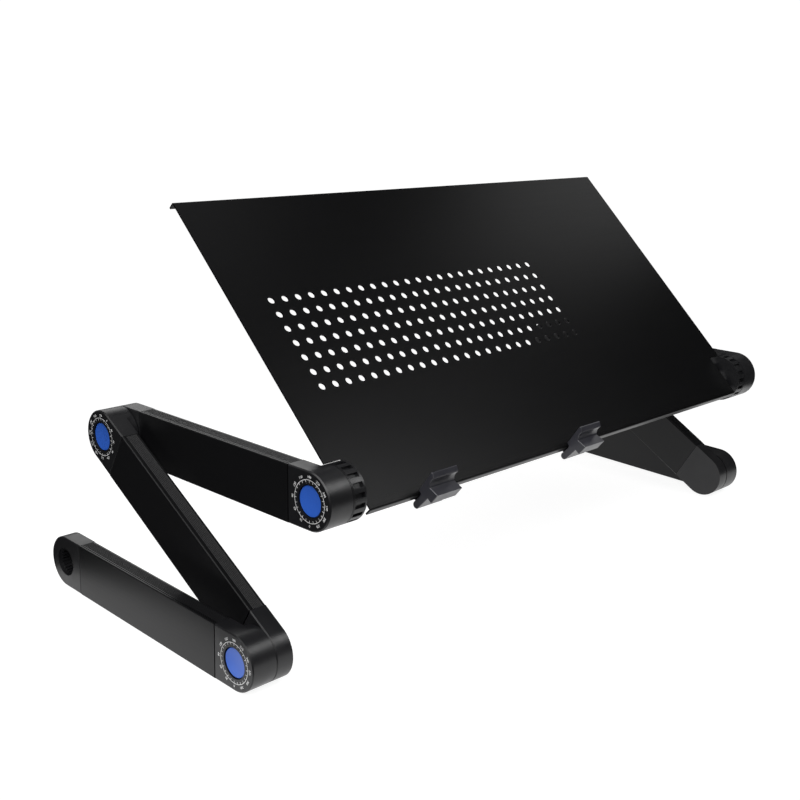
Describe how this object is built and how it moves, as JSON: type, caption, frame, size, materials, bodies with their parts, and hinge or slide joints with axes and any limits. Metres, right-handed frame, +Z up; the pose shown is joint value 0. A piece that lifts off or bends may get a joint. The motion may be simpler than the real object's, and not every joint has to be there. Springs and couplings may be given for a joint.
{
  "type": "laptop stand",
  "caption": "Folding laptop stand: a tilted perforated aluminium panel with stopper clips, on two zigzag legs of hinged arms with push-button toothed locks.",
  "frame": {"origin": "on the floor, under the middle of the whole stand", "axes": "+X along the front edge to the user's right, +Y from the user to the back, +Z up"},
  "size_m": [0.5972, 0.2911, 0.2937],
  "materials": {
    "black_anodised_sheet": "satin black anodised",
    "black_anodised_tube": "satin black anodised, drawn",
    "black_abs": "moulded, fine spark texture",
    "blue_abs": "moulded, semi-gloss",
    "clip_grey": "moulded, matte",
    "natural_nylon": "moulded",
    "spring_steel": "bright wire",
    "zinc_steel": "zinc plated"
  },
  "bodies": {
    "panel": {"panel": "black_anodised_sheet", "left_panel_hub": "black_abs", "right_panel_hub": "black_abs", "left_hub_screws": "zinc_steel", "right_hub_screws": "zinc_steel", "left_tilt_spring": "spring_steel", "right_tilt_spring": "spring_steel"},
    "left_stop": {"left_clip": "clip_grey"},
    "right_stop": {"right_clip": "clip_grey"},
    "left_upper_arm": {"left_upper_tube": "black_anodised_tube", "left_upper_dial_cap": "black_abs", "left_upper_plain_cap": "black_abs", "left_tilt_bolt": "zinc_steel", "left_tilt_nut": "zinc_steel", "left_elbow_spring": "spring_steel", "left_elbow_nut_cover": "black_abs"},
    "left_middle_arm": {"left_middle_tube": "black_anodised_tube", "left_middle_dial_cap": "black_abs", "left_middle_plain_cap": "black_abs", "left_elbow_bolt": "zinc_steel", "left_elbow_nut": "zinc_steel", "left_base_spring": "spring_steel", "left_base_nut_cover": "black_abs"},
    "left_lower_arm": {"left_lower_tube": "black_anodised_tube", "left_lower_dial_cap": "black_abs", "left_lower_foot_cap": "black_abs", "left_base_bolt": "zinc_steel", "left_base_nut": "zinc_steel"},
    "left_tilt_lock": {"left_tilt_button": "blue_abs", "left_tilt_lock_gear": "natural_nylon"},
    "left_elbow_lock": {"left_elbow_button": "blue_abs", "left_elbow_lock_gear": "natural_nylon"},
    "left_base_lock": {"left_base_button": "blue_abs", "left_base_lock_gear": "natural_nylon"},
    "right_upper_arm": {"right_upper_tube": "black_anodised_tube", "right_upper_dial_cap": "black_abs", "right_upper_plain_cap": "black_abs", "right_tilt_bolt": "zinc_steel", "right_tilt_nut": "zinc_steel", "right_elbow_spring": "spring_steel", "right_elbow_nut_cover": "black_abs"},
    "right_middle_arm": {"right_middle_tube": "black_anodised_tube", "right_middle_dial_cap": "black_abs", "right_middle_plain_cap": "black_abs", "right_elbow_bolt": "zinc_steel", "right_elbow_nut": "zinc_steel", "right_base_spring": "spring_steel", "right_base_nut_cover": "black_abs"},
    "right_lower_arm": {"right_lower_tube": "black_anodised_tube", "right_lower_dial_cap": "black_abs", "right_lower_foot_cap": "black_abs", "right_base_bolt": "zinc_steel", "right_base_nut": "zinc_steel"},
    "right_tilt_lock": {"right_tilt_button": "blue_abs", "right_tilt_lock_gear": "natural_nylon"},
    "right_elbow_lock": {"right_elbow_button": "blue_abs", "right_elbow_lock_gear": "natural_nylon"},
    "right_base_lock": {"right_base_button": "blue_abs", "right_base_lock_gear": "natural_nylon"}
  },
  "joints": [
    {"name": "left_tilt_hinge", "type": "hinge", "parent": "panel", "child": "left_upper_arm", "pos_m": [-0.2598, -0.1108, 0.12806], "axis": [1, 0, 0], "continuous": true},
    {"name": "left_elbow_hinge", "type": "hinge", "parent": "left_upper_arm", "child": "left_middle_arm", "pos_m": [-0.2598, 0.09912, 0.1222], "axis": [1, 0, 0], "continuous": true},
    {"name": "left_base_hinge", "type": "hinge", "parent": "left_middle_arm", "child": "left_lower_arm", "pos_m": [-0.2598, -0.0842, 0.01975], "axis": [1, 0, 0], "continuous": true},
    {"name": "left_tilt_press", "type": "slide", "parent": "left_upper_arm", "child": "left_tilt_lock", "axis": [1, 0, 0], "range_m": [0, 0.0025], "stiffness_N_per_m": 1200, "springref_m": -0.002, "deforming": ["left_tilt_spring"]},
    {"name": "left_elbow_press", "type": "slide", "parent": "left_middle_arm", "child": "left_elbow_lock", "axis": [1, 0, 0], "range_m": [0, 0.0025], "stiffness_N_per_m": 1200, "springref_m": -0.002, "deforming": ["left_elbow_spring"]},
    {"name": "left_base_press", "type": "slide", "parent": "left_lower_arm", "child": "left_base_lock", "axis": [1, 0, 0], "range_m": [0, 0.0025], "stiffness_N_per_m": 1200, "springref_m": -0.002, "deforming": ["left_base_spring"]},
    {"name": "right_tilt_hinge", "type": "hinge", "parent": "panel", "child": "right_upper_arm", "pos_m": [0.2598, -0.1108, 0.12806], "axis": [1, 0, 0], "continuous": true},
    {"name": "right_elbow_hinge", "type": "hinge", "parent": "right_upper_arm", "child": "right_middle_arm", "pos_m": [0.2598, 0.09912, 0.1222], "axis": [1, 0, 0], "continuous": true},
    {"name": "right_base_hinge", "type": "hinge", "parent": "right_middle_arm", "child": "right_lower_arm", "pos_m": [0.2598, -0.0842, 0.01975], "axis": [1, 0, 0], "continuous": true},
    {"name": "right_tilt_press", "type": "slide", "parent": "right_upper_arm", "child": "right_tilt_lock", "axis": [-1, 0, 0], "range_m": [0, 0.0025], "stiffness_N_per_m": 1200, "springref_m": -0.002, "deforming": ["right_tilt_spring"]},
    {"name": "right_elbow_press", "type": "slide", "parent": "right_middle_arm", "child": "right_elbow_lock", "axis": [-1, 0, 0], "range_m": [0, 0.0025], "stiffness_N_per_m": 1200, "springref_m": -0.002, "deforming": ["right_elbow_spring"]},
    {"name": "right_base_press", "type": "slide", "parent": "right_lower_arm", "child": "right_base_lock", "axis": [-1, 0, 0], "range_m": [0, 0.0025], "stiffness_N_per_m": 1200, "springref_m": -0.002, "deforming": ["right_base_spring"]},
    {"name": "left_stop_slide", "type": "slide", "parent": "panel", "child": "left_stop", "axis": [1, 0, 0], "range_m": [-0.0431, 0.06715]},
    {"name": "right_stop_slide", "type": "slide", "parent": "panel", "child": "right_stop", "axis": [1, 0, 0], "range_m": [-0.06715, 0.2194]}
  ]
}
